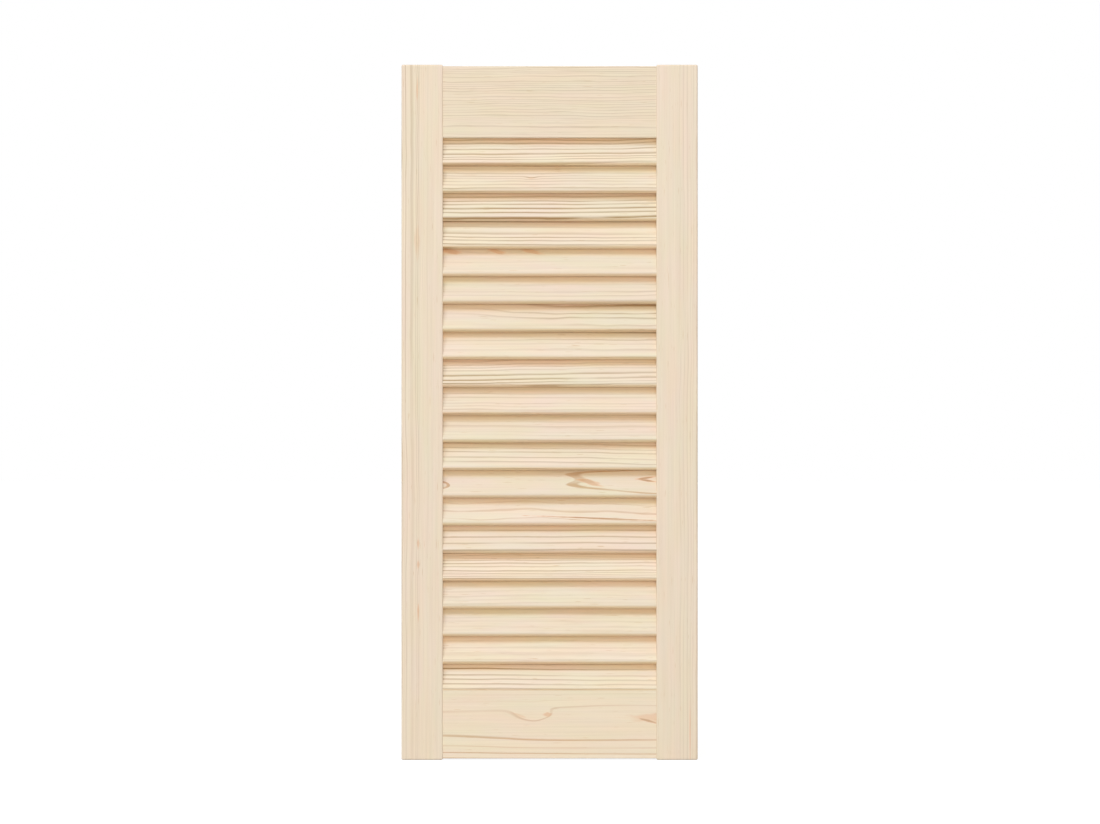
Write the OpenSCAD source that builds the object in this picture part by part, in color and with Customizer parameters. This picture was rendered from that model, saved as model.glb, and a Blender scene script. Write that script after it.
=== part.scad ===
// Louvred cupboard door in pine: two stiles, two rails between them, and a bank
// of slats that lap one over the next, so that air passes and the eye doesn't.
// The leaf stands upright. X runs across it from the hinge edge to the latch
// edge, the front faces -Y, and Z is up. The origin lies on the hinge edge,
// halfway up the leaf and halfway through its thickness.

/* [Leaf] */
// Height of the leaf, over the ends of the stiles
leaf_h = 690; // [500:1:900]
// Width of the leaf, over both stiles
leaf_w = 294; // [220:1:450]
// Thickness of the stiles
leaf_t = 21; // [18:0.5:26]
// Radius to which the arrises of the stiles are eased
arris_r = 1.5; // [0.8:0.1:1.8]

/* [Stiles] */
// Face width of each stile
stile_w = 41; // [34:1:60]
// How far the stiles stand past the rails, at the top and at the bottom
horn_h = 1.4; // [0.5:0.1:20]

/* [Rails] */
// Face height of the top rail
top_rail_h = 71; // [56:1:110]
// Face height of the bottom rail
bottom_rail_h = 68; // [50:1:120]
// How far the rails' faces stay back from the stiles' faces, front and rear
rail_setback = 1.2; // [0.2:0.1:1.5]
// Radius to which the long edges of the rails are eased
rail_arris_r = 0.5; // [0.3:0.1:1]
// Thickness of the rails' stub tenons
tenon_t = 7; // [5:0.5:9]
// Length of the tenons, past the shoulders
tenon_l = 25; // [15:1:28]
// Least wood between a mortise and the nearest slot or end
tenon_land = 8; // [5:0.5:12]

/* [Slats] */
// Thickness of a slat, whose two long edges are full bull noses
slat_t = 7; // [5:0.5:9]
// Height of slat that is wanted in view between two noses
slat_reveal = 27.5; // [22:0.1:34]
// How far the noses stay back from the front face of the frame
slat_setback = 0.8; // [0.6:0.1:3]
// How far the slats' upper edges stay back from the rear face of the frame
rear_setback = 3.2; // [2:0.1:4]
// How far the lowest nose reaches down into the bottom rail
nose_tuck = 2; // [0.5:0.1:3]
// Depth of the slots in the stiles that hold the slats' ends
slot_depth = 10; // [6:0.5:14]

/* [Clearances] */
// Gap between two slats where they lap, for air and for the wood between slots
lap_gap = 1.3; // [0.6:0.1:2.5]
// Gap round a slat in its slot or groove
seat_gap = 0.1; // [0.05:0.05:0.3]
// Gap between a slat's end and the bottom of its slot
end_gap = 0.3; // [0.1:0.1:0.8]
// Gap round a tenon in its mortise
joint_gap = 0.1; // [0.05:0.05:0.3]

/* [Hidden] */
// How far a cutting solid runs past the face that it opens
overrun = 2;
// Number of sides with which curves are drawn
$fn = 64;

// Planes of the leaf
front_y = -leaf_t / 2;
leaf_top = leaf_h / 2;
leaf_bottom = -leaf_h / 2;
clear_w = leaf_w - 2 * stile_w;
rail_y = front_y + rail_setback;
rail_t = leaf_t - 2 * rail_setback;

// The rails' edges, and the field of slats between them
top_rail_z = leaf_top - horn_h - top_rail_h;
bottom_rail_z = leaf_bottom + horn_h;
field_bottom = bottom_rail_z + bottom_rail_h;
field_h = top_rail_z - field_bottom;

// The slats share the field out evenly, and the last nose dips into the rail
slat_count = round((field_h + nose_tuck) / slat_reveal);
pitch = (field_h + nose_tuck) / slat_count;

// The tilt leaves the lap gap between two slats, and their width fills the depth
slat_r = slat_t / 2;
slat_tilt = asin((slat_t + lap_gap) / pitch);
slat_span = (leaf_t - slat_setback - rear_setback - slat_t) / sin(slat_tilt);
slat_rise = slat_span * cos(slat_tilt) + slat_t;
head_tuck = slat_rise - pitch;
nose_y = front_y + slat_setback + slat_r;

// Ends of the slats and of the tenons
slat_x = stile_w - slot_depth + end_gap;
tenon_x = stile_w - tenon_l;

// Lower edge and height of each tenon, clear of the slots and of the ends
top_tenon_z = top_rail_z + head_tuck + tenon_land;
top_tenon_h = top_rail_h - head_tuck - 2 * tenon_land;
bottom_tenon_z = bottom_rail_z + tenon_land;
bottom_tenon_h = bottom_rail_h - nose_tuck - 2 * tenon_land;

// Colours of the planed pine: stiles, rails and slats
stile_colour = [0.92, 0.85, 0.76];
rail_colour = [0.93, 0.85, 0.75];
slat_colour = [0.94, 0.87, 0.78];

// Nodes are numbered with two digits, from the top slat down
first_two_digits = 10;
function slat_name(k) = str("slat_", k < first_two_digits ? "0" : "", k);
function nose_z(k) = top_rail_z - k * pitch + slat_r;

// A rectangle from the origin with its four corners eased
module eased_rectangle(width, height, ease_r) {
    translate([ease_r, 0]) square([width - 2 * ease_r, height]);
    translate([0, ease_r]) square([width, height - 2 * ease_r]);
    for (x = [ease_r, width - ease_r], y = [ease_r, height - ease_r])
        translate([x, y]) circle(r = ease_r);
}

// Turns an outline drawn in Y and Z into a bar that runs along X
module along_x(length) {
    rotate([90, 0, 90]) linear_extrude(length) children();
}

// Section of a slat, from the centre of its nose up and back by the tilt
module slat_section(gap = 0) {
    rotate(-slat_tilt) {
        translate([-slat_r - gap, 0]) square([slat_t + 2 * gap, slat_span]);
        circle(r = slat_r + gap);
        translate([0, slat_span]) circle(r = slat_r + gap);
    }
}

// The room that slat k takes up in the piece that holds it
module slat_seat(k, x, length) {
    translate([x, nose_y, nose_z(k)]) along_x(length) slat_section(seat_gap);
}

// A tenon bar, or with a gap the mortise for it
module tenon(x, length, z, height, gap = 0) {
    translate([x, -tenon_t / 2 - gap, z - gap])
        cube([length, tenon_t + 2 * gap, height + 2 * gap]);
}

// A stile with its outer edge at the origin, eased along all its arrises
module stile_blank() {
    translate([0, front_y, leaf_bottom]) intersection() {
        linear_extrude(leaf_h) eased_rectangle(stile_w, leaf_t, arris_r);
        along_x(stile_w) eased_rectangle(leaf_t, leaf_h, arris_r);
        translate([0, leaf_t, 0]) rotate([90, 0, 0])
            linear_extrude(leaf_t) eased_rectangle(stile_w, leaf_h, arris_r);
    }
}

// The hinge stile, with a stopped slot for each slat and two blind mortises
module stile() {
    mortise_x = tenon_x - joint_gap;
    mortise_l = tenon_l + joint_gap + overrun;
    difference() {
        stile_blank();
        for (k = [1 : slat_count])
            slat_seat(k, stile_w - slot_depth, slot_depth + overrun);
        tenon(mortise_x, mortise_l, top_tenon_z, top_tenon_h, joint_gap);
        tenon(mortise_x, mortise_l, bottom_tenon_z, bottom_tenon_h, joint_gap);
    }
}

// A rail between the stiles, with one bar through it for both tenons
module rail(z, height, tenon_z, tenon_h, k) {
    difference() {
        translate([stile_w, rail_y, z])
            along_x(clear_w) eased_rectangle(rail_t, height, rail_arris_r);
        slat_seat(k, stile_w - overrun, clear_w + 2 * overrun);
    }
    tenon(tenon_x, clear_w + 2 * tenon_l, tenon_z, tenon_h);
}

module left_stile() {
    color(stile_colour) stile();
}

module right_stile() {
    color(stile_colour) translate([leaf_w, 0, 0]) mirror([1, 0, 0]) stile();
}

// The top rail is grooved for the upper edge of the first slat
module top_rail() {
    color(rail_colour) rail(top_rail_z, top_rail_h, top_tenon_z, top_tenon_h, 1);
}

// The bottom rail has a shallow groove, in which the last nose lies
module bottom_rail() {
    color(rail_colour)
        rail(bottom_rail_z, bottom_rail_h, bottom_tenon_z, bottom_tenon_h, slat_count);
}

// Slat k, counted from the top, housed at both ends in the stiles
module slat(k) {
    color(slat_colour) translate([slat_x, nose_y, nose_z(k)])
        along_x(leaf_w - 2 * slat_x) slat_section();
}

left_stile();
right_stile();
top_rail();
bottom_rail();
for (k = [1 : slat_count]) slat(k);
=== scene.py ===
# %% [markdown]
# # A louvred cupboard door in pine
#
# The real object is a narrow door leaf of bare, sanded pine: two upright stiles, a top and a bottom rail
# between them, and a bank of bull-nosed slats that lap one over the next. Nothing on it moves. The
# construction comes as a fixed frame, in metres, with +Z up and the front facing -Y, and this script gives
# every board its finish.

# %% The frame
import math

import bmesh
import bpy
from mathutils import Matrix, Vector


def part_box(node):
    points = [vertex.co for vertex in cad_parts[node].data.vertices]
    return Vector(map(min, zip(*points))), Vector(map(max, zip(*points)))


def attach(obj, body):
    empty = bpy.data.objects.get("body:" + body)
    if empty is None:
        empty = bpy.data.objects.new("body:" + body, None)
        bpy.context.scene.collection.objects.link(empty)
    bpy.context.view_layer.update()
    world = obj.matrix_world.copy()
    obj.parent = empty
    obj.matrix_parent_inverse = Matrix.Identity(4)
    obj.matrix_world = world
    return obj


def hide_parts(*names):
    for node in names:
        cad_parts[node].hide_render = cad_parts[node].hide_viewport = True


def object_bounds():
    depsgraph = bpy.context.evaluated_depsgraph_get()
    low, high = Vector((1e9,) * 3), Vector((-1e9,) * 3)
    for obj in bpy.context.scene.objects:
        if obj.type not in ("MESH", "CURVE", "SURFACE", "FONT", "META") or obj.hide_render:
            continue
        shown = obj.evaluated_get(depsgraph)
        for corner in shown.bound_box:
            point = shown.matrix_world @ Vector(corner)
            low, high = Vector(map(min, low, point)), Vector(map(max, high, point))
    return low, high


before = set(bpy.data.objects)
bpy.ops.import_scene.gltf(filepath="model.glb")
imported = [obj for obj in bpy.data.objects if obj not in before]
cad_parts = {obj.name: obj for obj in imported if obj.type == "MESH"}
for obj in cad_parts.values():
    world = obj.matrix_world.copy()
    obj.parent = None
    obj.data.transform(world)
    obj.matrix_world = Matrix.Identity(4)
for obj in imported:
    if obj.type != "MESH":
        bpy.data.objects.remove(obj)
cad_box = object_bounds()
MM = 0.001
print("boards in the frame:", len(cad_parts))

# %% [markdown]
# ## Sizes, read from the frame
#
# What the boxes of the construction tell is measured there and not typed again. A stile gives the width of
# the frame's members. A slat's box gives its tilt and its width, because the box is as deep as the slat
# leans and as tall as it rises. Only what no box can tell, such as how thick a slat is, is a value of this
# script.

# %% Measure the leaf
SLAT_T = 7 * MM


def ends(node):
    """Where a node starts and stops along X."""
    low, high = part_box(node)
    return low[0], high[0]


leaf_low, leaf_high = (Vector(corner) for corner in cad_box)
leaf_centre = (leaf_low + leaf_high) / 2
leaf_size = leaf_high - leaf_low
stile_start, stile_stop = ends("left_stile")
stile_w = stile_stop - stile_start
slat_nodes = sorted(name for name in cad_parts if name.startswith("slat_"))
slat_low, slat_high = (Vector(corner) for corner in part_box(slat_nodes[0]))
lean = slat_high.y - slat_low.y - SLAT_T
rise = slat_high.z - slat_low.z - SLAT_T
slat_tilt = math.atan2(lean, rise)
slat_span = math.hypot(lean, rise)
print("leaf", [round(v / MM, 1) for v in leaf_size], "slats", len(slat_nodes))
print("tilt", round(math.degrees(slat_tilt), 2), "width", round((slat_span + SLAT_T) / MM, 2))

# %% [markdown]
# ## The camera
#
# The photograph is taken square on, from far enough away that nothing converges. The scale is known, since
# the leaf's height and its height in the picture are, so a distance is chosen and the lens follows from
# it: the picture's width over the distance is the sensor's width over the lens.

# %% Put up the camera
PICTURE_W, PICTURE_H = 1100, 824
LEAF_TOP_PX, LEAF_FOOT_PX = 64.6, 760.0
LEAF_MIDDLE_PX = 549.6
CAMERA_DISTANCE = 3.0
SENSOR = 36.0

metres_a_pixel = leaf_size.z / (LEAF_FOOT_PX - LEAF_TOP_PX)
camera = bpy.data.objects.new("camera", bpy.data.cameras.new("camera"))
camera.data.sensor_width = SENSOR
camera.data.lens = SENSOR * CAMERA_DISTANCE / (PICTURE_W * metres_a_pixel)
camera.data.shift_x = (PICTURE_W / 2 - LEAF_MIDDLE_PX) / PICTURE_W
camera.data.shift_y = ((LEAF_TOP_PX + LEAF_FOOT_PX) / 2 - PICTURE_H / 2) / PICTURE_W
camera.location = (leaf_centre.x, leaf_low.y - CAMERA_DISTANCE, leaf_centre.z)
camera.rotation_euler = (math.pi / 2, 0, 0)
bpy.context.scene.collection.objects.link(camera)
bpy.context.scene.camera = camera
bpy.context.scene.view_settings.view_transform = "Standard"
print("lens", round(camera.data.lens, 1), "mm")

# %% [markdown]
# ## The floor
#
# The photograph's background is pure white, with no line between floor and wall. One wide face at the
# height of the leaf's foot is floor enough.

# %% Lay the floor
FLOOR_REACH = 12.0

floor_bm = bmesh.new()
bmesh.ops.create_grid(floor_bm, x_segments=1, y_segments=1, size=FLOOR_REACH)
bmesh.ops.translate(floor_bm, vec=(leaf_centre.x, 0, leaf_low.z), verts=floor_bm.verts)
floor_mesh = bpy.data.meshes.new("floor")
floor_bm.to_mesh(floor_mesh)
floor_bm.free()
floor = bpy.data.objects.new("floor", floor_mesh)
bpy.context.scene.collection.objects.link(floor)
print("floor at", round(leaf_low.z, 4))

# %% [markdown]
# ## A floor that shows white
#
# The floor has to look white and yet mustn't throw a white floor's light up at the door. Light Path tells
# the two apart. Where the camera looks at it, most of the floor's brightness is its own, so it shows white
# and still takes a soft shadow. The door is lit by a plain matt grey alone.

# %% Make the floor's material
FLOOR_COLOUR = (0.5, 0.5, 0.5, 1.0)
FLOOR_SEEN = (0.25, 0.25, 0.25, 1.0)
FLOOR_GLOW = 0.85


def seen_directly(tree):
    """A mask of 1 on rays that come from the camera, off a mirror or through glass."""
    path = tree.nodes.new("ShaderNodeLightPath")
    mask = path.outputs["Is Camera Ray"]
    for name in ("Is Glossy Ray", "Is Transmission Ray"):
        either = tree.nodes.new("ShaderNodeMath")
        either.operation = "MAXIMUM"
        tree.links.new(mask, either.inputs[0])
        tree.links.new(path.outputs[name], either.inputs[1])
        mask = either.outputs[0]
    return mask


floor_material = bpy.data.materials.new("studio_floor")
floor_material.use_nodes = True
tree = floor_material.node_tree
tree.nodes.clear()
matt = tree.nodes.new("ShaderNodeBsdfDiffuse")
matt.inputs["Color"].default_value = FLOOR_COLOUR
faint = tree.nodes.new("ShaderNodeBsdfDiffuse")
faint.inputs["Color"].default_value = FLOOR_SEEN
glow = tree.nodes.new("ShaderNodeEmission")
glow.inputs["Strength"].default_value = FLOOR_GLOW
shown = tree.nodes.new("ShaderNodeAddShader")
mix = tree.nodes.new("ShaderNodeMixShader")
out = tree.nodes.new("ShaderNodeOutputMaterial")
tree.links.new(faint.outputs[0], shown.inputs[0])
tree.links.new(glow.outputs[0], shown.inputs[1])
tree.links.new(seen_directly(tree), mix.inputs["Fac"])
tree.links.new(matt.outputs[0], mix.inputs[1])
tree.links.new(shown.outputs[0], mix.inputs[2])
tree.links.new(mix.outputs[0], out.inputs["Surface"])
floor_mesh.materials.append(floor_material)
print("floor material:", len(tree.nodes), "nodes")

# %% [markdown]
# ## The lamps
#
# The shadows under the noses tell where the light is: above, in front and to the left, and far enough away
# that they are about as long at the foot as at the top. Their soft edges give its size: wide and not so
# tall. A second lamp, wide and near the camera's line, reaches in under the noses.

# %% Hang the lamps
KEY_DIRECTION = Vector((-0.64, -1.0, 1.5)).normalized()
KEY_DISTANCE = 8.0
KEY_WIDTH = 4.0
KEY_HEIGHT = 1.4
KEY_LEVEL = 0.37
FRONT_DIRECTION = Vector((0.0, -1.0, 0.0))
FRONT_DISTANCE = 6.0
FRONT_SIZE = 3.5
FRONT_LEVEL = 0.37


def soft_light(name, direction, distance, width, height, level):
    """A rectangular light turned to the leaf. At level 1 it alone shows a surface in its own colour."""
    light = bpy.data.objects.new(name, bpy.data.lights.new(name, "AREA"))
    light.data.shape = "RECTANGLE"
    light.data.size = width
    light.data.size_y = height
    light.data.energy = level * math.pi**2 * distance**2
    light.location = leaf_centre + direction * distance
    light.rotation_euler = direction.to_track_quat("Z", "Y").to_euler()
    bpy.context.scene.collection.objects.link(light)
    print(name, "of", round(light.data.energy), "W")


soft_light("key_light", KEY_DIRECTION, KEY_DISTANCE, KEY_WIDTH, KEY_HEIGHT, KEY_LEVEL)
soft_light("front_fill", FRONT_DIRECTION, FRONT_DISTANCE, FRONT_SIZE, FRONT_SIZE, FRONT_LEVEL)

# %% [markdown]
# ## The world
#
# The shadows are still about half as bright as the lit wood, so most of the light comes from all round,
# which is the world. Behind the door it has to show pure white, and the floor's mask picks that white for
# whatever the camera sees of it.

# %% Light the world
WHITE = (1.0, 1.0, 1.0, 1.0)
WHITE_LEVEL = 1.0
FILL_LEVEL = 0.64

world = bpy.data.worlds.new("studio")
bpy.context.scene.world = world
world.use_nodes = True
tree = world.node_tree
tree.nodes.clear()
backgrounds = []
for level in (FILL_LEVEL, WHITE_LEVEL):
    background = tree.nodes.new("ShaderNodeBackground")
    background.inputs["Color"].default_value = WHITE
    background.inputs["Strength"].default_value = level
    backgrounds.append(background)
fill, backdrop = backgrounds
mix = tree.nodes.new("ShaderNodeMixShader")
out = tree.nodes.new("ShaderNodeOutputWorld")
tree.links.new(seen_directly(tree), mix.inputs["Fac"])
tree.links.new(fill.outputs[0], mix.inputs[1])
tree.links.new(backdrop.outputs[0], mix.inputs[2])
tree.links.new(mix.outputs[0], out.inputs["Surface"])
print("light from all round:", FILL_LEVEL)

# %% [markdown]
# ## How a board is made
#
# A dressed board starts as a block, and a bevel eases its arrises. The edges to ease are found by the way
# that they run, which says more to a reader than a list of their numbers.

# %% Helpers for blocks
ALONG = 0.999


def block(low, high):
    """A closed block between two corners."""
    bm = bmesh.new()
    bmesh.ops.create_cube(bm, size=1.0)
    bmesh.ops.scale(bm, vec=Vector(high) - Vector(low), verts=bm.verts)
    bmesh.ops.translate(bm, vec=(Vector(high) + Vector(low)) / 2, verts=bm.verts)
    return bm


def along_x(bm):
    """The edges of a block that run along X."""
    found = []
    for edge in bm.edges:
        step = edge.verts[1].co - edge.verts[0].co
        if abs(step.normalized().x) > ALONG:
            found.append(edge)
    return found


def ease(bm, edges, radius, segments):
    """Rounds the given edges."""
    bmesh.ops.bevel(
        bm, geom=edges, offset=radius, segments=segments, profile=0.5, affect="EDGES", material=-1
    )


def mesh_object(name, bm):
    """Turns a bmesh into an object that sits at the origin."""
    mesh = bpy.data.meshes.new(name)
    bm.to_mesh(mesh)
    bm.free()
    obj = bpy.data.objects.new(name, mesh)
    bpy.context.scene.collection.objects.link(obj)
    return obj


# %% [markdown]
# ## Joinery
#
# The joinery is cut as the joiner cuts it, by taking a cutter's shape away. An exact boolean leaves a
# closed mesh with true corners, which would be laborious to knit by hand, and it is applied at once, so
# that no cutter is left in the scene. A finished board then gets smooth roundings beside flat faces, and
# takes its node's place in the frame.

# %% Helpers for joinery
SMOOTH_BELOW = math.radians(40)


def work(obj, bm, operation):
    """Adds a shape to a board or takes it away, and applies that at once."""
    tool = mesh_object("tool", bm)
    step = obj.modifiers.new("joinery", "BOOLEAN")
    step.operation = operation
    step.solver = "EXACT"
    step.object = tool
    graph = bpy.context.evaluated_depsgraph_get()
    worked = bpy.data.meshes.new_from_object(obj.evaluated_get(graph))
    obj.modifiers.remove(step)
    obj.data = worked
    bpy.data.objects.remove(tool)


def finish_board(obj, node):
    """Smooths the eased edges, keeps the flat faces flat, and puts the board in the node's place."""
    obj.data.shade_smooth()
    obj.data.set_sharp_from_angle(angle=SMOOTH_BELOW)
    flat = obj.modifiers.new("flat faces", "WEIGHTED_NORMAL")
    flat.keep_sharp = True
    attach(obj, "root")
    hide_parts(node)
    return obj


# %% [markdown]
# ## Slats
#
# A slat is a thin bar whose two long edges are full bull noses. A block gets them when its four long edges
# are eased by nearly half of its thickness. It's then turned so that its width leans back by the tilt, and
# moved into its node's place. The same shape, grown a little, is the cutter for its slot.

# %% Shape the slats
NOSE_SEGMENTS = 10
NOSE_SHARE = 0.999


def slat_bar(node, x_low, x_high, grow=0.0):
    """A bull-nosed bar in a slat's place, between two stations along the leaf."""
    low, high = (Vector(corner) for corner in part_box(node))
    half_t = SLAT_T / 2 + grow
    half_w = slat_span / 2 + half_t
    bm = block((x_low, -half_w, -half_t), (x_high, half_w, half_t))
    ease(bm, along_x(bm), half_t * NOSE_SHARE, NOSE_SEGMENTS)
    middle = (low + high) / 2
    turn = Matrix.Rotation(math.pi / 2 - slat_tilt, 4, "X")
    place = Matrix.Translation((0, middle.y, middle.z)) @ turn
    bmesh.ops.transform(bm, matrix=place, verts=bm.verts)
    return bm


boards = {}
for node in slat_nodes:
    slat = mesh_object(f"{node}_pine", slat_bar(node, *ends(node)))
    boards[node] = finish_board(slat, node)
print("slats:", len(boards), "faces each:", len(slat.data.polygons))

# %% [markdown]
# ## Rails
#
# The rails are set between the stiles and a little behind their faces, as a bright line along the right
# stile's arris shows. Their ends are square and their long edges almost sharp. Both ends go on as a stub
# tenon, which the stile hides. The top rail is grooved for the first slat's upper edge, and the bottom
# rail for the last nose.

# %% Shape the rails
SEAT_GAP = 0.1 * MM
OVERRUN = 2 * MM
TENON_T = 7 * MM
TENON_LAND = 8 * MM
RAIL_ARRIS_R = 0.5 * MM
RAIL_ARRIS_SEGMENTS = 4

clear_low = leaf_low.x + stile_w
clear_high = leaf_high.x - stile_w
tenon_low, tenon_high = ends("top_rail")
head_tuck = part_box(slat_nodes[0])[1][2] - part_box("top_rail")[0][2]
nose_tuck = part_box("bottom_rail")[1][2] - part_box(slat_nodes[-1])[0][2]
tenon_z = {
    "top_rail": (head_tuck + TENON_LAND, TENON_LAND),
    "bottom_rail": (TENON_LAND, nose_tuck + TENON_LAND),
}


def tenon_bar(node, x_low, x_high, grow=0.0):
    """A rail's tenon, or with some growth its mortise."""
    below, above = tenon_z[node]
    z_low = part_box(node)[0][2] + below - grow
    z_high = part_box(node)[1][2] - above + grow
    half_t = TENON_T / 2 + grow
    return block((x_low, -half_t, z_low), (x_high, half_t, z_high))


for node, seated in (("top_rail", slat_nodes[0]), ("bottom_rail", slat_nodes[-1])):
    low, high = (Vector(corner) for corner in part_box(node))
    bm = block((clear_low, low.y, low.z), (clear_high, high.y, high.z))
    ease(bm, along_x(bm), RAIL_ARRIS_R, RAIL_ARRIS_SEGMENTS)
    rail = mesh_object(f"{node}_pine", bm)
    work(rail, slat_bar(seated, clear_low - OVERRUN, clear_high + OVERRUN, SEAT_GAP), "DIFFERENCE")
    work(rail, tenon_bar(node, tenon_low, tenon_high), "UNION")
    boards[node] = finish_board(rail, node)
    print(node, "faces:", len(rail.data.polygons))

# %% [markdown]
# ## Stiles
#
# The stiles run from end to end. All their arrises are eased, the ends' too. A slot for each slat and two
# mortises are cut into the inner edge, and stop inside the wood, so that nothing shows on the outer edge.

# %% Shape the stiles
ARRIS_R = 1.5 * MM
ARRIS_SEGMENTS = 6
END_GAP = 0.3 * MM

slat_start, slat_stop = ends(slat_nodes[-1])
slot_end = {"left_stile": slat_start - END_GAP, "right_stile": slat_stop + END_GAP}
mortise_end = {"left_stile": tenon_low - SEAT_GAP, "right_stile": tenon_high + SEAT_GAP}
inner_edge = {"left_stile": clear_low + OVERRUN, "right_stile": clear_high - OVERRUN}

for node in ("left_stile", "right_stile"):
    bm = block(*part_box(node))
    ease(bm, list(bm.edges), ARRIS_R, ARRIS_SEGMENTS)
    stile = mesh_object(f"{node}_pine", bm)
    for slat_node in slat_nodes:
        reach = sorted((slot_end[node], inner_edge[node]))
        work(stile, slat_bar(slat_node, *reach, SEAT_GAP), "DIFFERENCE")
    for rail_node in tenon_z:
        reach = sorted((mortise_end[node], inner_edge[node]))
        work(stile, tenon_bar(rail_node, *reach, SEAT_GAP), "DIFFERENCE")
    boards[node] = finish_board(stile, node)
    print(node, "faces:", len(stile.data.polygons))

# %% [markdown]
# ## How pine gets its figure
#
# A board's figure isn't painted on it. It's where a flat cut crosses the growth rings of a trunk, so one
# solid pattern gives straight lines on a quarter-sawn face, wide arches on a plain-sawn one and true rings
# on the end grain. The pattern is worked out from Object coordinates, turned and centred for each board by
# a Mapping node, in millimetres: x along the grain, y across the face and z out of the front. Node groups
# hold what all boards share, and these two helpers make a group and fill its sockets.

# %% Helpers for groups and sockets
def new_group(name, inputs, outputs):
    """An empty node group with named sockets."""
    tree = bpy.data.node_groups.new(name, "ShaderNodeTree")
    for label, value in inputs.items():
        kind = "NodeSocketFloat"
        if value is None:
            kind = "NodeSocketVector"
        elif isinstance(value, tuple):
            kind = "NodeSocketColor"
        socket = tree.interface.new_socket(name=label, in_out="INPUT", socket_type=kind)
        if value is not None:
            socket.default_value = value
    for label, kind in outputs.items():
        tree.interface.new_socket(name=label, in_out="OUTPUT", socket_type=kind)
    return tree, tree.nodes.new("NodeGroupInput").outputs, tree.nodes.new("NodeGroupOutput").inputs


def feed(tree, socket, value):
    """Links a socket to another, or sets it to a number or a colour."""
    if isinstance(value, bpy.types.NodeSocket):
        tree.links.new(value, socket)
    else:
        socket.default_value = value


# %% [markdown]
# ## Small steps in a node tree
#
# The same few steps come again and again: a sum, a smooth ramp, a mix of two colours, a noise that swings
# to both sides of zero, and a strength that grows with the distance from the middle. As functions they can
# be read like a formula. A Mix node has sockets of the same name for numbers, vectors and colours, so those
# for colours are found by their place.

# %% Helpers for arithmetic
NOISE_MIDDLE = 0.5
FIRST_COLOUR = 6
SECOND_COLOUR = 7
MIXED_COLOUR = 2


def maths(tree, operation, *values):
    """A Math node and what goes into it."""
    node = tree.nodes.new("ShaderNodeMath")
    node.operation = operation
    for socket, value in zip(node.inputs, values):
        feed(tree, socket, value)
    return node.outputs[0]


def ramp(tree, value, start, end):
    """Rises smoothly from 0 to 1 between two values, or falls if start is the higher one."""
    node = tree.nodes.new("ShaderNodeMapRange")
    node.interpolation_type = "SMOOTHSTEP"
    feed(tree, node.inputs["Value"], value)
    feed(tree, node.inputs["From Min"], start)
    feed(tree, node.inputs["From Max"], end)
    return node.outputs["Result"]


def swing(tree, noise, size):
    """Turns a noise into a swing to both sides of zero."""
    return maths(tree, "MULTIPLY", maths(tree, "SUBTRACT", noise, NOISE_MIDDLE), size)


def sloping(tree, distance, slope, unit, least):
    """A strength of 1 in the middle, which changes by slope times unit a millimetre, down to a least one."""
    change = maths(tree, "MULTIPLY", distance, slope)
    return maths(tree, "MAXIMUM", maths(tree, "MULTIPLY_ADD", change, unit, 1.0), least)


def blend_colour(tree, share, first, second, how="MIX"):
    """A Mix node for colours."""
    node = tree.nodes.new("ShaderNodeMix")
    node.data_type = "RGBA"
    node.blend_type = how
    feed(tree, node.inputs["Factor"], share)
    feed(tree, node.inputs[FIRST_COLOUR], first)
    feed(tree, node.inputs[SECOND_COLOUR], second)
    return node.outputs[MIXED_COLOUR]


# %% [markdown]
# ## Noise along the grain
#
# Most of what varies in wood is drawn out along the grain. So the coordinates are multiplied by a small
# number lengthways and a larger one across before they go into a noise. A seed moves each board to a place
# of its own in the trunk, as if it came from another plank.

# %% Helper for noise
SEED_STEP = 37.0


def streaky_noise(tree, vector, seed, along, across, detail=2.0):
    """Noise drawn out along the grain, in cycles a millimetre."""
    shift = tree.nodes.new("ShaderNodeCombineXYZ")
    feed(tree, shift.inputs["X"], maths(tree, "MULTIPLY", seed, SEED_STEP))
    stretch = tree.nodes.new("ShaderNodeVectorMath")
    stretch.operation = "MULTIPLY_ADD"
    feed(tree, stretch.inputs[0], vector)
    stretch.inputs[1].default_value = (along, across, across)
    feed(tree, stretch.inputs[2], shift.outputs[0])
    node = tree.nodes.new("ShaderNodeTexNoise")
    node.inputs["Scale"].default_value = 1.0
    node.inputs["Detail"].default_value = detail
    feed(tree, node.inputs["Vector"], stretch.outputs[0])
    return node.outputs


# %% [markdown]
# ## Growth rings: how far from the pith
#
# A trunk's rings lie round its pith, so a ring is a matter of the distance from there. The pith isn't
# straight: it leans against the board, wanders slowly along the grain and wavers a little on the way. Near
# a knot the rings bulge to one side or the other, which changes the distance. The noises are given as
# cycles a millimetre along the grain and across it, and their detail where it isn't 2.

# %% Group: growth rings, the distance
SLOW_WANDER = (0.006, 0.016)
SLOW_REACH = 5.0
QUICK_WANDER = (0.028, 0.10, 1.0)
QUICK_REACH = 1.1

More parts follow.
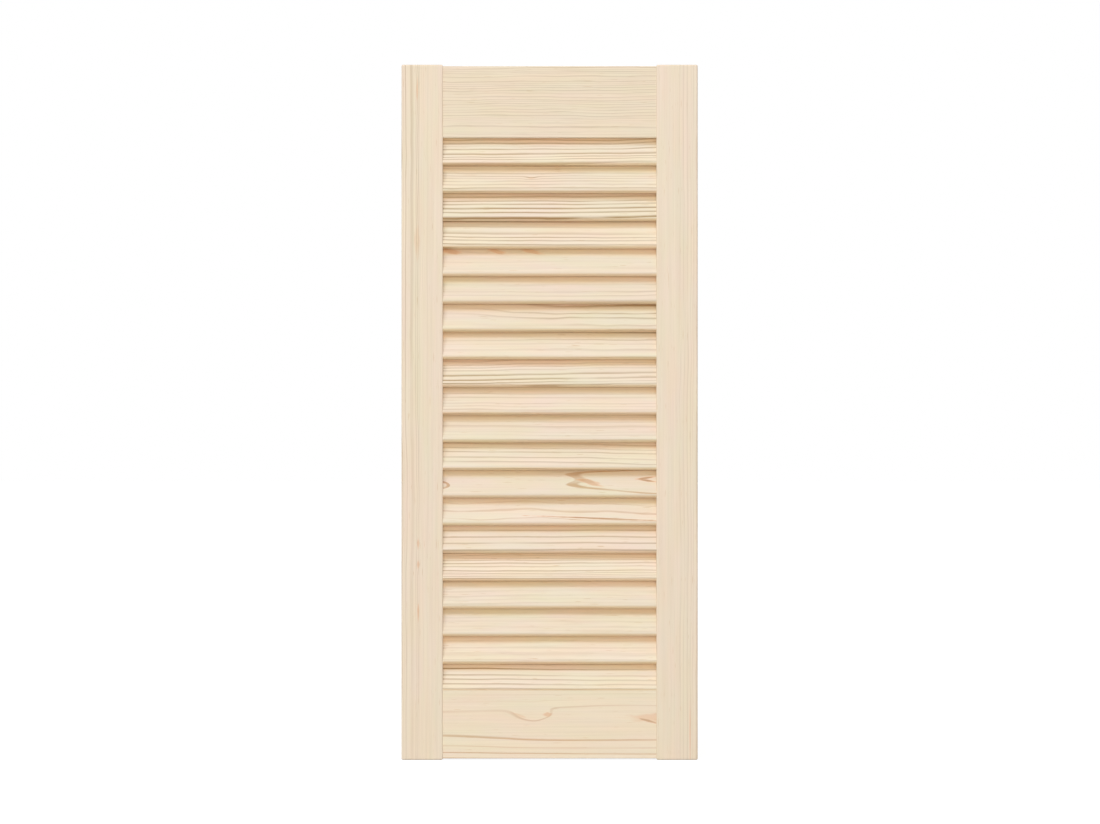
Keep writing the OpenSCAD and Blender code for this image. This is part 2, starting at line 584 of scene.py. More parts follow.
tree, given, put = new_group(
    "growth_rings",
    {
        "Board": None,
        "Pith Y": -60.0,
        "Pith Z": -20.0,
        "Lean": 0.0,
        "Ring Width": 3.0,
        "Spread": 1.0,
        "Wander": 1.0,
        "Swell": 0.0,
        "Late Start": 0.4,
        "Uneven": 0.5,
        "Side": 0.0,
        "Fade": 0.0,
        "Seed": 0.0,
    },
    {"Late Wood": "NodeSocketFloat", "Ring Tone": "NodeSocketFloat"},
)
place = tree.nodes.new("ShaderNodeSeparateXYZ")
tree.links.new(given["Board"], place.inputs[0])
slow = streaky_noise(tree, given["Board"], given["Seed"], *SLOW_WANDER)
quick = streaky_noise(tree, given["Board"], given["Seed"], *QUICK_WANDER)
drift = tree.nodes.new("ShaderNodeSeparateXYZ")
tree.links.new(slow["Color"], drift.inputs[0])
wander_y = maths(tree, "MULTIPLY", swing(tree, drift.outputs[0], SLOW_REACH), given["Wander"])
wander_z = maths(tree, "MULTIPLY", swing(tree, drift.outputs[1], SLOW_REACH), given["Wander"])
waver = maths(tree, "MULTIPLY", swing(tree, quick["Fac"], QUICK_REACH), given["Wander"])
climb = maths(tree, "MULTIPLY", place.outputs[0], given["Lean"])
from_y = maths(tree, "SUBTRACT", maths(tree, "SUBTRACT", place.outputs[1], given["Pith Y"]), climb)
from_y = maths(tree, "ADD", from_y, wander_y)
from_z = maths(tree, "ADD", maths(tree, "SUBTRACT", place.outputs[2], given["Pith Z"]), wander_z)
square_y = maths(tree, "MULTIPLY", from_y, from_y)
square_z = maths(tree, "MULTIPLY", from_z, from_z)
radius = maths(tree, "SQRT", maths(tree, "ADD", square_y, square_z))
radius = maths(tree, "ADD", maths(tree, "ADD", radius, given["Swell"]), waver)
print("distance from the pith:", len(tree.nodes), "nodes")

# %% [markdown]
# ## Growth rings: counting the years
#
# The distance divided by the width of a ring counts the years, and what is left of a year says where in
# its ring a point lies. A noise along the distance makes some rings wider than others. In each ring the
# pale early wood darkens slowly into late wood and then stops sharply, which a long ramp up and a short
# one down give.

# %% Group: growth rings, the years
YEARS_SCALE = 0.07
YEARS_REACH = 8.0
LATE_FULL = 0.88
RING_STOP = (1.0, 0.94)

years = tree.nodes.new("ShaderNodeTexNoise")
years.noise_dimensions = "1D"
years.inputs["Scale"].default_value = 1.0
years.inputs["Detail"].default_value = 1.0
tree.links.new(maths(tree, "MULTIPLY_ADD", radius, YEARS_SCALE, given["Seed"]), years.inputs["W"])
uneven = maths(tree, "MULTIPLY", swing(tree, years.outputs["Fac"], YEARS_REACH), given["Spread"])
count = maths(tree, "DIVIDE", maths(tree, "ADD", radius, uneven), given["Ring Width"])
part = maths(tree, "FRACT", count)
darkening = ramp(tree, part, given["Late Start"], LATE_FULL)
late = maths(tree, "MULTIPLY", darkening, ramp(tree, part, *RING_STOP))
year = tree.nodes.new("ShaderNodeTexWhiteNoise")
year.noise_dimensions = "1D"
tree.links.new(maths(tree, "ADD", maths(tree, "FLOOR", count), given["Seed"]), year.inputs["W"])
print("with the years:", len(tree.nodes), "nodes")

# %% [markdown]
# ## Growth rings: how dark they are
#
# No two rings are equally dark, and a ring isn't equally dark along its way. White noise by the year makes
# some paler, and a slow noise fades them in patches. Side makes the lines stronger from one long edge to
# the other and fade from one end to the other, and both leave the board's middle as it is. Where the rings
# bulge, the lines are darker.

# %% Group: growth rings, the strength
PALE_PATCHES = (0.014, 0.11, 1.0)
PALE_RANGE = (0.05, 0.55)
SIDE_UNIT = 0.05
SIDE_LEAST = 0.15
FADE_UNIT = 0.01
FADE_LEAST = 0.1
KNOT_SWELL_FULL = 2.0
KNOT_GAIN = 0.5

paler = maths(tree, "MULTIPLY", year.outputs["Value"], given["Uneven"])
strength = maths(tree, "SUBTRACT", 1.0, paler)
patches = streaky_noise(tree, given["Board"], given["Seed"], *PALE_PATCHES)
strength = maths(tree, "MULTIPLY", strength, ramp(tree, patches["Fac"], *PALE_RANGE))
side = sloping(tree, place.outputs[1], given["Side"], SIDE_UNIT, SIDE_LEAST)
strength = maths(tree, "MULTIPLY", strength, side)
fade = sloping(tree, place.outputs[0], given["Fade"], FADE_UNIT, FADE_LEAST)
strength = maths(tree, "MULTIPLY", strength, fade)
near_knot = maths(tree, "MINIMUM", maths(tree, "ABSOLUTE", given["Swell"]), KNOT_SWELL_FULL)
near_knot = maths(tree, "MULTIPLY_ADD", near_knot, KNOT_GAIN, 1.0)
strength = maths(tree, "MULTIPLY", strength, near_knot)
tree.links.new(maths(tree, "MULTIPLY", late, strength), put["Late Wood"])
tree.links.new(year.outputs["Value"], put["Ring Tone"])
growth_rings = tree
print("growth rings:", len(tree.nodes), "nodes")

# %% [markdown]
# ## Fibres and resin ducts
#
# Under the rings lie the fibres: long faint streaks, on some boards shorter strokes too, a very fine grain
# that only a close view shows, and here and there a short brown dash, where a resin duct was cut open. The
# fine grain also goes into the bump.

# %% Group: fibres
STREAKS = (0.010, 0.55, 3.0)
STROKES = (0.03, 0.35, 1.0)
STROKE_RANGE = (0.50, 0.72)
DUCTS = (0.07, 1.6, 0.0)
DUCT_RANGE = (0.76, 0.86)
FINE_GRAIN = (0.15, 5.0, 1.0)
NOISE_RANGE = (0.25, 0.75)

tree, given, put = new_group(
    "pine_fibres",
    {"Board": None, "Stroke Share": 1.0, "Seed": 0.0},
    {
        "Streaks": "NodeSocketFloat",
        "Strokes": "NodeSocketFloat",
        "Ducts": "NodeSocketFloat",
        "Fine": "NodeSocketFloat",
    },
)
long_streaks = streaky_noise(tree, given["Board"], given["Seed"], *STREAKS)
short_strokes = streaky_noise(tree, given["Board"], given["Seed"], *STROKES)
strokes = ramp(tree, short_strokes["Fac"], *STROKE_RANGE)
ducts = streaky_noise(tree, given["Board"], given["Seed"], *DUCTS)
fine = streaky_noise(tree, given["Board"], given["Seed"], *FINE_GRAIN)
tree.links.new(ramp(tree, long_streaks["Fac"], *NOISE_RANGE), put["Streaks"])
tree.links.new(maths(tree, "MULTIPLY", strokes, given["Stroke Share"]), put["Strokes"])
tree.links.new(ramp(tree, ducts["Fac"], *DUCT_RANGE), put["Ducts"])
tree.links.new(fine["Fac"], put["Fine"])
pine_fibres = tree
print("fibres:", len(tree.nodes), "nodes")

# %% [markdown]
# ## Knots
#
# A knot is a branch that the trunk grew around. The rings bulge past it, so it raises the radius over a
# lens that is long in the grain and pointed at its ends. Its own wood is darker, by as much as the core
# says. Without a core the same bulge stands for a branch that lies deeper, which shows in the lines alone.
# Tilt turns the lens against the grain, and slant shears it lengthways, as on a branch that is cut askew.

# %% Group: knot
KNOT_NOISE = (0.10, 0.35)
BELL = -0.5
RAGGED = 1.2
CORE_RANGE = (1.05, 0.35)

tree, given, put = new_group(
    "pine_knot",
    {
        "Board": None,
        "X": 0.0,
        "Y": 0.0,
        "Half Length": 10.0,
        "Half Width": 4.0,
        "Slant": 0.0,
        "Tilt": 0.0,
        "Bulge": 4.0,
        "Core": 1.0,
    },
    {"Swell": "NodeSocketFloat", "Dark": "NodeSocketFloat"},
)
place = tree.nodes.new("ShaderNodeSeparateXYZ")
tree.links.new(given["Board"], place.inputs[0])
ragged = streaky_noise(tree, given["Board"], given["X"], *KNOT_NOISE)
off_x = maths(tree, "SUBTRACT", place.outputs[0], given["X"])
off_y = maths(tree, "SUBTRACT", place.outputs[1], given["Y"])
off_y = maths(tree, "ADD", off_y, maths(tree, "MULTIPLY", off_x, given["Tilt"]))
off_x = maths(tree, "ADD", off_x, maths(tree, "MULTIPLY", off_y, given["Slant"]))
u = maths(tree, "DIVIDE", off_x, given["Half Length"])
v = maths(tree, "DIVIDE", off_y, given["Half Width"])
square_u = maths(tree, "MULTIPLY", u, u)
square_v = maths(tree, "MULTIPLY", v, v)
oval = maths(tree, "ADD", square_u, square_v)
hill = maths(tree, "EXPONENT", maths(tree, "MULTIPLY", oval, BELL))
lens = maths(tree, "ADD", maths(tree, "ABSOLUTE", u), square_v)
off_middle = maths(tree, "SUBTRACT", ragged["Fac"], NOISE_MIDDLE)
edge = maths(tree, "MULTIPLY", lens, maths(tree, "MULTIPLY_ADD", off_middle, RAGGED, 1.0))
tree.links.new(maths(tree, "MULTIPLY", hill, given["Bulge"]), put["Swell"])
tree.links.new(maths(tree, "MULTIPLY", ramp(tree, edge, *CORE_RANGE), given["Core"]), put["Dark"])
pine_knot = tree
print("knot:", len(tree.nodes), "nodes")

# %% [markdown]
# ## Painted shade under the laps
#
# In the narrow gaps light goes from slat to slat and takes on the wood's colour each time. So under the
# lap of the slat above, and round under the nose, the shade is deeper and more orange than on the open
# faces. Bounced light gives a part of that, and the rest is painted shade: a warmer, darker tint laid on
# the colour there. The first place follows from the height on the slat, the second from the way that the
# surface faces. Both change softly, so they are ramps, and the larger one counts.

# %% Group: painted shade of the laps
FACING_DOWN = (0.10, -0.55)
FACING_FORWARD = (0.5, 0.0)

tree, given, put = new_group(
    "painted_lap_shade",
    {"Board": None, "Normal": None, "Lap Start": 0.0, "Lap Full": 3.0},
    {"Warm": "NodeSocketFloat"},
)
place = tree.nodes.new("ShaderNodeSeparateXYZ")
facing = tree.nodes.new("ShaderNodeSeparateXYZ")
tree.links.new(given["Board"], place.inputs[0])
tree.links.new(given["Normal"], facing.inputs[0])
face = maths(tree, "SIGN", place.outputs[2])
height = maths(tree, "MULTIPLY", place.outputs[1], face)
# Painted shade: under the lap of the slat above by height, and under the nose where the surface faces down.
shade_under_lap = ramp(tree, height, given["Lap Start"], given["Lap Full"])
downward = ramp(tree, facing.outputs[2], *FACING_DOWN)
forward = ramp(tree, facing.outputs[1], *FACING_FORWARD)
shade_under_nose = maths(tree, "MULTIPLY", downward, forward)
tree.links.new(maths(tree, "MAXIMUM", shade_under_lap, shade_under_nose), put["Warm"])
painted_lap_shade = tree
print("tone of the laps:", len(tree.nodes), "nodes")

# %% [markdown]
# ## The palette
#
# Early wood is a pale cream, late wood a warm tan that can go to amber. A weak knot is a light orange mark
# and a strong one a dark brown one, so a knot has two colours. All others are factors, which multiply the
# colour that is there already: pink and straw in broad patches, rose and moss and, apart from them, gold
# and ash in smaller ones, what streaks, strokes, ducts and end grain do to the wood, and the painted shade
# under the laps.

# %% Colours of pine
EARLY = (0.868, 0.742, 0.582, 1.0)
LATE = (0.440, 0.290, 0.145, 1.0)
AMBER = (0.560, 0.290, 0.110, 1.0)
KNOT = (0.800, 0.420, 0.200, 1.0)
KNOT_EDGE = (0.420, 0.220, 0.100, 1.0)
LAP_SHADE_TINT = (1.06, 0.935, 0.765, 1.0)
PINK = (1.015, 0.985, 0.975, 1.0)
STRAW = (0.990, 1.005, 0.965, 1.0)
STREAK = (0.950, 0.944, 0.934, 1.0)
STROKE = (0.965, 0.958, 0.948, 1.0)
DUCT = (0.84, 0.74, 0.60, 1.0)
ROSE = (1.025, 0.978, 1.0, 1.0)
MOSS = (0.975, 1.022, 1.0, 1.0)
GOLD = (1.0, 1.0, 0.94, 1.0)
ASH = (1.0, 1.0, 1.06, 1.0)
END_GRAIN = (0.86, 0.80, 0.70, 1.0)
UNCHANGED = (1.0, 1.0, 1.0, 1.0)


def tint(tree, colour, share, shade):
    """Multiplies a colour by another, as far as the share says."""
    return blend_colour(tree, share, colour, blend_colour(tree, 1.0, colour, shade, "MULTIPLY"))


# %% [markdown]
# ## The colour of pine
#
# The group lays one effect over the other, so that every board is made of the same wood and only the
# shares differ. The first are the broad ones: late wood over early wood, then pink and straw, then the two
# kinds of smaller patches, each from a channel of its own of one noise.

# %% Group: pine colour, the wood
BROAD_PATCHES = (0.009, 0.045)
HUE_PATCHES = (0.016, 0.09)

tree, given, put = new_group(
    "pine_colour",
    {
        "Board": None,
        "Late Wood": 0.0,
        "Contrast": 0.5,
        "Amber": 0.0,
        "Ring Tone": 0.5,
        "Streaks": 0.5,
        "Strokes": 0.0,
        "Ducts": 0.0,
        "Dark": 0.0,
        "Warm": 0.0,
        "End": 0.0,
        "Pinkness": 0.5,
        "Hue": 0.5,
        "Lightness": 1.0,
        "Kind": UNCHANGED,
        "Seed": 0.0,
    },
    {"Colour": "NodeSocketColor", "Roughness": "NodeSocketFloat"},
)
late_colour = blend_colour(tree, given["Amber"], LATE, AMBER)
late_share = maths(tree, "MULTIPLY", given["Late Wood"], given["Contrast"])
colour = blend_colour(tree, late_share, EARLY, late_colour)
broad = streaky_noise(tree, given["Board"], given["Seed"], *BROAD_PATCHES)
patch = maths(tree, "ADD", broad["Fac"], maths(tree, "SUBTRACT", given["Pinkness"], NOISE_MIDDLE))
colour = tint(tree, colour, 1.0, blend_colour(tree, ramp(tree, patch, *NOISE_RANGE), STRAW, PINK))
hues = tree.nodes.new("ShaderNodeSeparateXYZ")
hue_noise = streaky_noise(tree, given["Board"], given["Seed"], *HUE_PATCHES)
tree.links.new(hue_noise["Color"], hues.inputs[0])
for channel, first, second in ((0, MOSS, ROSE), (1, GOLD, ASH)):
    hue = blend_colour(tree, ramp(tree, hues.outputs[channel], *NOISE_RANGE), first, second)
    colour = tint(tree, colour, given["Hue"], hue)
print("wood and hues:", len(tree.nodes), "nodes")

# %% [markdown]
# ## The colour of pine: the finer effects
#
# Over the wood lie streaks and strokes, the lightness of the year and of the board, the tone of its kind,
# ducts and knots, and last the painted shade under the laps and the end grain, which drinks in light and
# looks darker. Late wood is also a little glossier, and the streaks a little duller.

# %% Group: pine colour, the finer effects
YEAR_LIGHT = 0.02
BASE_LIGHT = 1.017
DARK_CORE = (0.35, 1.0)
ROUGHNESS = 0.62
LATE_ROUGHNESS = -0.10
STREAK_ROUGHNESS = 0.05

colour = tint(tree, colour, given["Streaks"], STREAK)
colour = tint(tree, colour, given["Strokes"], STROKE)
shade = maths(tree, "MULTIPLY_ADD", given["Ring Tone"], YEAR_LIGHT, BASE_LIGHT)
shade = maths(tree, "MULTIPLY", shade, given["Lightness"])
grey = tree.nodes.new("ShaderNodeCombineColor")
for channel in ("Red", "Green", "Blue"):
    tree.links.new(shade, grey.inputs[channel])
colour = tint(tree, colour, 1.0, grey.outputs[0])
colour = tint(tree, colour, 1.0, given["Kind"])
colour = tint(tree, colour, given["Ducts"], DUCT)
knot_colour = blend_colour(tree, ramp(tree, given["Dark"], *DARK_CORE), KNOT, KNOT_EDGE)
colour = blend_colour(tree, given["Dark"], colour, knot_colour)
# Painted shade: a warmer, darker tint under the laps and round under the noses.
colour = tint(tree, colour, given["Warm"], LAP_SHADE_TINT)
colour = tint(tree, colour, given["End"], END_GRAIN)
tree.links.new(colour, put["Colour"])
dull = maths(tree, "MULTIPLY_ADD", given["Late Wood"], LATE_ROUGHNESS, ROUGHNESS)
tree.links.new(maths(tree, "MULTIPLY_ADD", given["Streaks"], STREAK_ROUGHNESS, dull), put["Roughness"])
pine_colour = tree
print("groups:", [group.name for group in bpy.data.node_groups])

# %% [markdown]
# ## Which way the grain runs
#
# The grain runs along a board: up the stiles, across on rails and slats. Three directions turn the leaf's
# space into the board's own, along, across and out of the front, and a slat's are tilted with it. Each
# kind of board also has a tone of its own and its share of the patches of hue. On the slats the painted
# shade of the laps begins and is full at two heights above their middle, in millimetres.

# %% Directions and tones of each kind
ACROSS_LEAF = Vector((1, 0, 0))
UPWARD = Vector((0, 0, 1))
OUT_OF_FRONT = Vector((0, -1, 0))
SLAT_UP = Vector((0, math.sin(slat_tilt), math.cos(slat_tilt)))
SLAT_OUT = ACROSS_LEAF.cross(SLAT_UP)
AXES = {
    "stile": (UPWARD, OUT_OF_FRONT.cross(UPWARD), OUT_OF_FRONT),
    "rail": (ACROSS_LEAF, UPWARD, OUT_OF_FRONT),
    "slat": (ACROSS_LEAF, SLAT_UP, SLAT_OUT),
}
KIND_TONE = {
    "stile": (0.992, 0.987, 1.002, 1.0),
    "rail": (0.987, 0.990, 0.985, 1.0),
    "slat": (0.976, 0.988, 1.005, 1.0),
}
KIND_HUE = {"stile": 0.45, "rail": 0.45, "slat": 0.70}
LAP_START = -1.5
LAP_FULL = 3.5
print("kinds of board:", list(AXES))

# %% [markdown]
# ## Parts of a board's material
#
# A Mapping node of the texture type works backwards: it is told where the board lies, how it's turned and
# what a millimetre is, and gives the place on the board. A board can have several knots. Their swellings
# add up, and of their dark cores the darkest one shows. End grain is where the surface faces along the
# board.

# %% Helpers for the material
END_FACING = (0.55, 0.9)


def grouped(tree, group, **values):
    """Puts a group in a material and sets or links its inputs by name."""
    node = tree.nodes.new("ShaderNodeGroup")
    node.node_tree = group
    for label, value in values.items():
        feed(tree, node.inputs[label.replace("_", " ")], value)
    return node.outputs


def board_space(tree, node, kind, where):
    """Millimetres from the middle of a board, along its grain, across it and out of its front."""
    turn = tree.nodes.new("ShaderNodeMapping")
    turn.vector_type = "TEXTURE"
    low, high = (Vector(corner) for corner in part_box(node))
    turn.inputs["Location"].default_value = (low + high) / 2
    turn.inputs["Rotation"].default_value = Matrix(AXES[kind]).transposed().to_euler()
    turn.inputs["Scale"].default_value = (MM, MM, MM)
    tree.links.new(where.outputs["Object"], turn.inputs["Vector"])
    return turn.outputs["Vector"]


def all_knots(tree, board, knots):
    """How far a board's knots swell the rings, and how dark their cores are."""
    swell, dark = 0.0, 0.0
    for values in knots:
        branch = grouped(tree, pine_knot, Board=board, **values)
        swell = maths(tree, "ADD", swell, branch["Swell"])
        dark = maths(tree, "MAXIMUM", dark, branch["Dark"])
    return swell, dark


def end_grain(tree, kind, where):
    """A mask for the surfaces that face along the grain."""
    lengthways = tree.nodes.new("ShaderNodeVectorMath")
    lengthways.operation = "DOT_PRODUCT"
    tree.links.new(where.outputs["Normal"], lengthways.inputs[0])
    lengthways.inputs[1].default_value = AXES[kind][0]
    return ramp(tree, maths(tree, "ABSOLUTE", lengthways.outputs["Value"]), *END_FACING)


# %% [markdown]
# ## One material for each board
#
# The boards come from different planks, so each has a material of its own, made of the same groups. What
# differs is where the pith lies from the board's middle, how wide the rings are, how far they wander and
# how strongly the late wood shows. Those are the things that a joiner would say of each. The late wood
# stands a little proud after sanding, so it goes into the bump with the fine grain.

# %% Make a board's material
SPECULAR = 0.35
BUMP_STRENGTH = 0.5
BUMP_DEPTH = 0.00004
LATE_RELIEF = 0.6


def pine(node, kind, look):
    """The pine material of one board."""
    material = bpy.data.materials.new(f"{node}_pine")
    material.use_nodes = True
    tree = material.node_tree
    shader = tree.nodes["Principled BSDF"]
    where = tree.nodes.new("ShaderNodeTexCoord")
    board = board_space(tree, node, kind, where)
    seed = look["seed"]
    pith_y, pith_z = look["pith"]
    swell, dark = all_knots(tree, board, look["knots"])
    rings = grouped(
        tree, growth_rings, Board=board, Pith_Y=pith_y, Pith_Z=pith_z, Ring_Width=look["ring"],
        Lean=look["lean"], Spread=look["spread"], Wander=look["wander"], Late_Start=look["late_start"],
        Uneven=look["uneven"], Side=look["side"], Fade=look["fade"], Swell=swell, Seed=seed,
    )
    fibres = grouped(tree, pine_fibres, Board=board, Stroke_Share=look["strokes"], Seed=seed)
    # The slats get the mask for the painted shade under their laps and noses.
    painted_shade = 0.0
    if kind == "slat":
        normal = where.outputs["Normal"]
        laps = grouped(
            tree, painted_lap_shade, Board=board, Normal=normal, Lap_Start=LAP_START, Lap_Full=LAP_FULL
        )
        painted_shade = laps["Warm"]
    finish = grouped(
        tree, pine_colour, Board=board, Late_Wood=rings["Late Wood"], Contrast=look["contrast"],
        Amber=look["amber"], Ring_Tone=rings["Ring Tone"], Streaks=fibres["Streaks"],
        Strokes=fibres["Strokes"], Ducts=fibres["Ducts"], Dark=dark, Warm=painted_shade,
        End=end_grain(tree, kind, where), Pinkness=look["pink"], Hue=KIND_HUE[kind],
        Lightness=look["light"], Kind=KIND_TONE[kind], Seed=seed,
    )
    tree.links.new(finish["Colour"], shader.inputs["Base Color"])
    tree.links.new(finish["Roughness"], shader.inputs["Roughness"])
    shader.inputs["Specular IOR Level"].default_value = SPECULAR
    bump = tree.nodes.new("ShaderNodeBump")
    bump.inputs["Strength"].default_value = BUMP_STRENGTH
    bump.inputs["Distance"].default_value = BUMP_DEPTH
    height = maths(tree, "MULTIPLY_ADD", rings["Late Wood"], LATE_RELIEF, fibres["Fine"])
    tree.links.new(height, bump.inputs["Height"])
    tree.links.new(bump.outputs["Normal"], shader.inputs["Normal"])
    return material


# %% [markdown]
# ## What is said of a board
#
# Lengths are in millimetres and places are measured from the board's middle. Pith says where the pith
# lies, across the face and behind it: far to one side it makes straight lines, and behind the face it
# makes arches. Ring is the width of a ring, spread how unequal the widths are, uneven how unequal the
# darkness. Late start is the part of a ring at which it begins to darken. Lean is how much the lines climb
# along the board, wander how much they waver. Contrast, amber, pink and light set the colours. What isn't
# said of a board is plain.

# %% Plain wood, and knots
PLAIN = dict(
    lean=0.0, spread=1.0, wander=1.0, late_start=0.45, uneven=0.55, side=0.0, fade=0.0, strokes=0.0,
    amber=0.0, pink=0.5, light=1.0, knots=(),
)


def knot(x, y, half_length, half_width, bulge, core, slant=0.0, tilt=0.0):
    """A knot's place and size on a board, in millimetres."""
    return dict(
        X=x, Y=y, Half_Length=half_length, Half_Width=half_width, Bulge=bulge, Core=core,
        Slant=slant, Tilt=tilt,
    )


# %% [markdown]
# ## The stiles
#
# Both stiles have straight lines that get stronger towards the outer edge. The left one shows small marks
# a little left of its middle. The right one is much paler, with a long thin mark near the foot.

# %% Looks of the stiles
STILE_LOOKS = {
    "left_stile": dict(
        pith=(-75, -35), ring=2.4, spread=1.4, uneven=0.85, wander=1.2, contrast=0.33, side=2.2,
        late_start=0.6, seed=1.1, fade=0.16,
        knots=(
            knot(320, 4.8, 13, 1.2, 0.3, 0.35),
            knot(169, 4.9, 20, 3.5, 0.6, 0.20),
            knot(-130, 3.8, 6, 1.6, 1.0, 0.45),
            knot(-151, 3.8, 6, 1.6, 1.0, 0.45),
            knot(-197, 3.8, 11, 1.1, 0.3, 0.50),
        ),
    ),
    "right_stile": dict(
        pith=(80, -30), ring=3.2, spread=1.4, uneven=0.9, wander=1.2, contrast=0.135, side=-1.5,
        late_start=0.6, seed=2.3, knots=(knot(-318, -12.9, 40, 0.9, 0.2, 0.35),),
    ),
}
print("looks of the stiles:", len(STILE_LOOKS))

# %% [markdown]
# ## The rails
#
# The top rail has fine, close lines. The bottom rail's pith lies behind the face, so its lines arch.
# Branches that lie deeper push them apart, they curl beside a small knot near the middle, and half of a
# larger knot shows at the right end.

# %% Looks of the rails
RAIL_LOOKS = {
    "top_rail": dict(
        pith=(-75, -28), ring=2.4, spread=1.3, uneven=0.9, wander=1.8, contrast=0.466, late_start=0.66,
        seed=3.7, strokes=1.0,
    ),
    "bottom_rail": dict(
        pith=(0.3, -90.9), ring=1.58, spread=0.0, wander=0.1, contrast=0.37, amber=0.9, late_start=0.76,
        side=-0.5, seed=6.0, fade=-0.15, uneven=0.6, light=1.045,
        knots=(
            knot(100, 0, 90, 40, -0.55, 0.0),
            knot(-7, -16, 35, 9, -0.3, 0.0),
            knot(-12, 10, 8, 6, 1.18, 0.0),
            knot(-24, 10, 10, 6, 0.87, 0.0),
            knot(-30.3, 8.9, 10, 1.6, 0.0, 0.25, tilt=0.36),
            knot(-2.2, 9.7, 5.6, 2.7, 0.5, 0.48),
            knot(70, 16, 60, 6, -0.5, 0.0),
            knot(118, 6.4, 50, 6.7, 0.0, 0.38),
            knot(98, 3.4, 16, 1.6, 0.0, 0.70, tilt=0.27),
        ),
    ),
}
print("looks of the rails:", len(RAIL_LOOKS))

# %% [markdown]
# ## The upper ten slats
#
# Most slats have the pith far to one side and so straight lines, each with its own spacing and strength.
# Slat 2 has one faint knot and slat 5 three, which are cut askew.

# %% Looks of slats 1 to 10
UPPER_SLAT_LOOKS = {
    "slat_01": dict(pith=(60, -25), ring=3.4, lean=0.012, wander=1.6, contrast=0.76, seed=5.9, light=1.03),
    "slat_02": dict(
        pith=(-55, -30), ring=2.6, contrast=0.72, seed=6.4, fade=-0.14,
        knots=(knot(-18, -5.5, 5, 1.6, 1.4, 0.15),),
    ),
    "slat_03": dict(
        pith=(48, -14), ring=4.0, lean=0.007, contrast=0.80, side=-0.7, spread=0.6, uneven=0.2, seed=7.7
    ),
    "slat_04": dict(
        pith=(52, -18), ring=4.3, contrast=0.60, side=-0.7, uneven=0.5, late_start=0.5, seed=8.2,
        light=1.02, fade=-0.29,
    ),
    "slat_05": dict(
        pith=(60, -45), ring=5.0, contrast=0.10, seed=9.5, light=0.98,
        knots=(
            knot(-99, 4.8, 12, 4.0, 3.0, 0.55, slant=2.0),
            knot(-52.5, 4.8, 8, 4.0, 3.0, 0.50, slant=1.5),
            knot(-18, 4.8, 10, 4.0, 3.0, 0.50, slant=2.2),
        ),
    ),
    "slat_06": dict(
        pith=(70, -50), ring=5.2, contrast=0.24, late_start=0.55, seed=10.1, light=0.975, fade=0.35
    ),
    "slat_07": dict(
        pith=(-30, -40), ring=4.6, lean=-0.02, wander=1.6, contrast=0.58, uneven=0.7, late_start=0.6,
        seed=11.6, light=0.98, fade=0.88,
    ),
    "slat_08": dict(pith=(-48, -36), ring=4.8, contrast=0.46, late_start=0.6, seed=12.8, fade=0.45),
    "slat_09": dict(
        pith=(40, -30), ring=3.3, lean=0.016, wander=1.2, contrast=0.57, side=-0.8, late_start=0.5,
        seed=13.3, fade=-0.19,
    ),
    "slat_10": dict(pith=(-66, -22), ring=3.8, contrast=0.37, late_start=0.55, seed=14.9, fade=-0.28),
}
print("looks of slats 1 to 10:", len(UPPER_SLAT_LOOKS))

# %% [markdown]
# ## The lower ten slats
#
# Slat 13 has its pith far behind the face. Long fingers come in from the right, and dark marks lie between
# them. Slat 14 has one long dark line. Slats 17 to 19 are pale and have short strokes, as the top rail
# has.

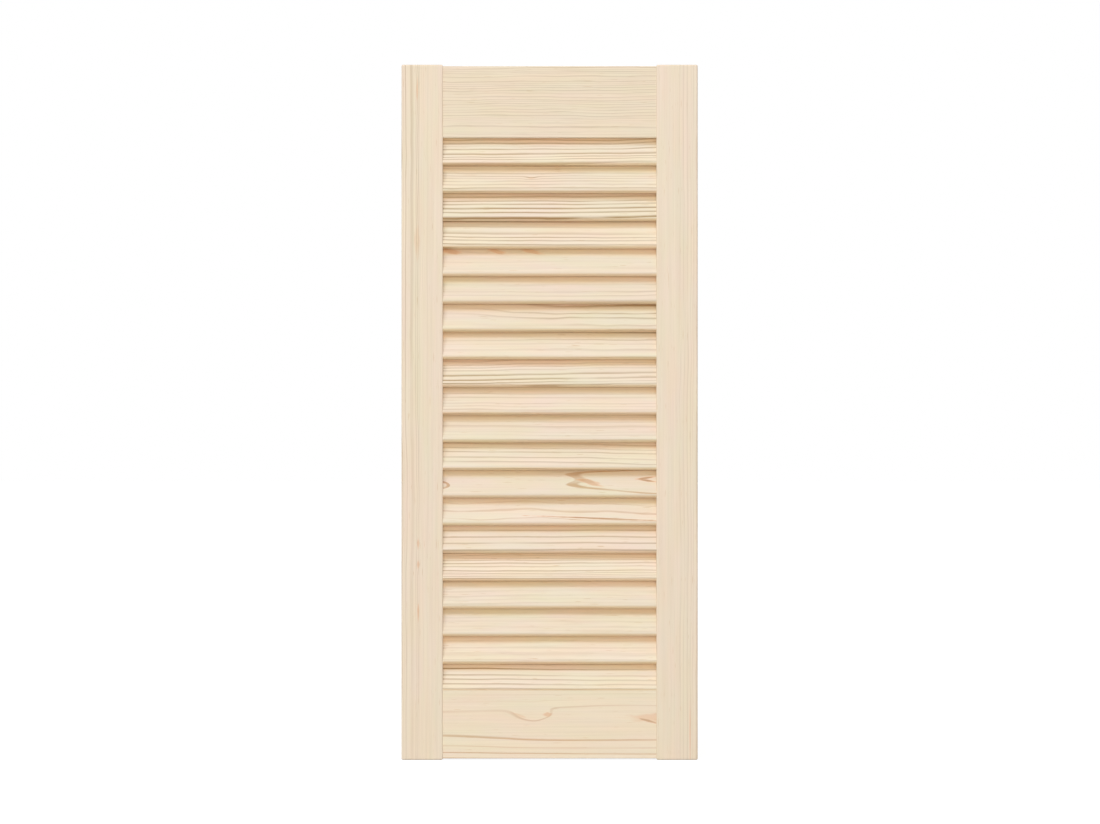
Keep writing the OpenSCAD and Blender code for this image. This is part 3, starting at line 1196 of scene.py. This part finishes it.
# %% Looks of slats 11 to 20
LOWER_SLAT_LOOKS = {
    "slat_11": dict(pith=(-62, -20), ring=4.2, contrast=0.28, late_start=0.55, seed=15.2, light=0.98),
    "slat_12": dict(pith=(-44, -30), ring=3.8, lean=-0.01, contrast=0.84, late_start=0.6, seed=16.5),
    "slat_13": dict(
        pith=(-4, -120.6), ring=3.6, spread=0.0, wander=0.4, contrast=0.76, amber=0.9, late_start=0.86,
        seed=17.4, light=0.965,
        knots=(
            knot(141.5, 2.6, 80, 3.8, 4.0, 0.0),
            knot(140.5, -6.5, 80, 4.0, 4.0, 0.0),
            knot(142, -12, 55, 4.0, 2.4, 0.0),
            knot(38, -4.0, 14, 2.6, 0.0, 0.66, tilt=0.15),
            knot(43, -6.6, 12, 2.2, 0.0, 0.60, tilt=0.25),
            knot(96, -0.6, 13, 1.3, 0.0, 0.80, tilt=-0.14),
            knot(97, -3.3, 14, 1.4, 0.0, 0.80, tilt=0.15),
            knot(-108, -7.7, 11, 4.6, 2.2, 0.0),
        ),
    ),
    "slat_14": dict(
        pith=(50, -40), ring=5.6, lean=-0.016, wander=2.4, contrast=0.42, amber=0.8, late_start=0.76,
        side=-0.8, seed=18.4, knots=(knot(52, -13.9, 90, 1.0, 0.0, 0.82, tilt=0.040),),
    ),
    "slat_15": dict(
        pith=(58, -16), ring=6.6, spread=0.2, contrast=0.6, late_start=0.66, uneven=0.35, seed=29.3,
        wander=0.6, pink=0.7,
    ),
    "slat_16": dict(
        pith=(-64, -18), ring=2.4, contrast=0.73, uneven=0.4, spread=1.0, seed=20.6, light=1.06, fade=-0.19
    ),
    "slat_17": dict(
        pith=(60, -44), ring=4.4, contrast=0.224, late_start=0.55, seed=21.2, strokes=1.0, fade=-0.26
    ),
    "slat_18": dict(pith=(64, -48), ring=4.0, contrast=0.145, seed=22.7, strokes=1.0),
    "slat_19": dict(pith=(-56, -34), ring=3.8, contrast=0.291, seed=23.5, strokes=1.0, light=1.03),
    "slat_20": dict(
        pith=(-50, -12), ring=5.0, lean=-0.006, contrast=0.87, spread=0.6, late_start=0.55, seed=24.1,
        light=1.035, fade=-0.38,
    ),
}
print("looks of slats 11 to 20:", len(LOWER_SLAT_LOOKS))

# %% [markdown]
# ## Giving the boards their wood
#
# Each board's look is plain wood with what is said of it laid over that. A node's name tells its kind: a
# slat's begins with it, and those of the stiles and rails end with it.

# %% Give the boards their materials
LOOKS = STILE_LOOKS | RAIL_LOOKS | UPPER_SLAT_LOOKS | LOWER_SLAT_LOOKS

for node, obj in boards.items():
    first, last = node.split("_")
    kind = first if first == "slat" else last
    obj.data.materials.clear()
    obj.data.materials.append(pine(node, kind, PLAIN | LOOKS[node]))
print("materials:", len(bpy.data.materials))
